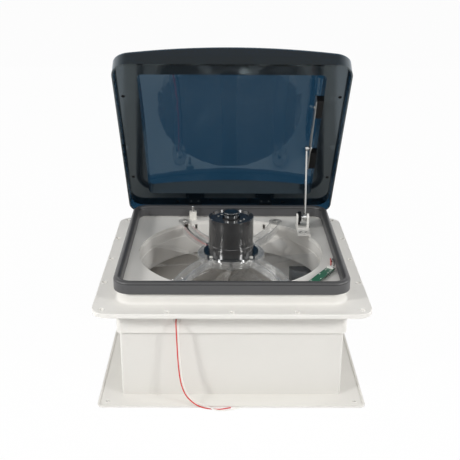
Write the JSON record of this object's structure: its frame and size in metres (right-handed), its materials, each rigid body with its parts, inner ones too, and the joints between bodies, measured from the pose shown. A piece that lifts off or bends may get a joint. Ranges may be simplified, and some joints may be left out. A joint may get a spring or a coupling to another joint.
{
  "type": "roof vent fan",
  "caption": "Square roof vent with a smoked lid on a lift arm, a fan motor on a clear spider in a round throat, a curb gasket, a rain sensor and a ceiling duct with an insect screen.",
  "frame": {"origin": "on the fan's axis, in the plane of the ceiling garnish's lower face", "axes": "+X to the lift arm's side, +Y to the lid's hinges, +Z out through the roof"},
  "size_m": [0.422, 0.4514, 0.5169],
  "materials": {
    "white_plastic": "satin moulded white",
    "gasket_rubber": "matt black rubber",
    "smoke_plastic": "clear smoke blue gloss",
    "liner_plastic": "black gloss",
    "clear_plastic": "clear polycarbonate",
    "screen_plastic": "brown grey net",
    "motor_black": "gloss black enamel",
    "steel": "zinc plated steel",
    "fastener_steel": "bright plated screws",
    "lamination_steel": "stacked sheet steel",
    "copper_alloy": "bare brass",
    "carbon": "pressed carbon",
    "black_plastic": "fine grained black",
    "drive_case": "plated steel can",
    "board_green": "green solder mask",
    "red_insulation": "red sleeve",
    "white_insulation": "white sleeve",
    "black_insulation": "black sleeve"
  },
  "bodies": {
    "base": {"base_pan": "white_plastic", "garnish": "white_plastic", "lid_switch": "white_plastic", "sensor_terminal": "white_plastic", "lift_bracket": "white_plastic", "sensor_standoffs": "white_plastic", "lid_gasket": "gasket_rubber", "lead_grommet": "gasket_rubber", "motor_spider": "clear_plastic", "screen_frame": "screen_plastic", "screen_mesh": "screen_plastic", "motor_can": "motor_black", "motor_end_cap": "motor_black", "motor_flange": "motor_black", "hinge_pins": "steel", "hinge_bracket_left": "steel", "hinge_bracket_right": "steel", "lower_bearing": "steel", "upper_bearing": "steel", "screen_screws": "fastener_steel", "spider_screws": "fastener_steel", "motor_screws": "fastener_steel", "hinge_screws": "fastener_steel", "bracket_screws": "fastener_steel", "control_screws": "fastener_steel", "motor_magnets": "lamination_steel", "motor_brushes": "carbon", "lift_gear_case": "black_plastic", "control_box": "black_plastic", "control_cover": "black_plastic", "lift_motor": "drive_case", "rain_sensor_board": "board_green", "control_board": "board_green", "lead_red": "red_insulation", "sensor_lead_red": "red_insulation", "motor_lead_red": "red_insulation", "lead_white": "white_insulation", "sensor_lead_black": "black_insulation", "motor_lead_black": "black_insulation"},
    "lid": {"lid_dome": "smoke_plastic", "lid_liner": "liner_plastic", "liner_screws": "fastener_steel", "hinge_strap_left": "steel", "hinge_strap_right": "steel", "strap_rivets": "fastener_steel", "lift_rail": "steel", "rail_block_front": "black_plastic", "rail_block_rear": "black_plastic", "rail_screws": "fastener_steel"},
    "arm": {"lift_arm": "steel", "pivot_shaft": "steel", "arm_pin": "steel", "worm_wheel": "copper_alloy"},
    "worm": {"lift_worm": "copper_alloy"},
    "rotor": {"motor_shaft": "steel", "armature": "lamination_steel", "commutator": "copper_alloy", "fan_impeller": "clear_plastic", "impeller_clip": "steel"},
    "plunger": {"switch_plunger": "steel"}
  },
  "joints": [
    {"name": "lid_hinge", "type": "hinge", "parent": "base", "child": "lid", "pos_m": [0, 0.189, 0.172], "axis": [1, 0, 0], "range_deg": [0, 56.6]},
    {"name": "arm_pivot", "type": "hinge", "parent": "base", "child": "arm", "pos_m": [0.135, 0.108, 0.2], "axis": [1, 0, 0], "range_deg": [0, 96]},
    {"name": "worm_spin", "type": "hinge", "parent": "base", "child": "worm", "pos_m": [0.126, 0.1198, 0.2], "axis": [0, 0, 1], "range_deg": [0, 1535.91]},
    {"name": "switch_press", "type": "slide", "parent": "base", "child": "plunger", "axis": [0, 0, -1], "range_m": [0, 0.00501]},
    {"name": "fan_spin", "type": "hinge", "parent": "base", "child": "rotor", "pos_m": [0, 0, 0.16], "axis": [0, 0, 1], "continuous": true}
  ],
  "couplings": [
    {"joint": "arm_pivot", "follows": "lid_hinge", "ratio": 1.6959},
    {"joint": "worm_spin", "follows": "lid_hinge", "ratio": 27.134},
    {"joint": "switch_press", "follows": "lid_hinge", "m_per_rad": 0.005061}
  ]
}
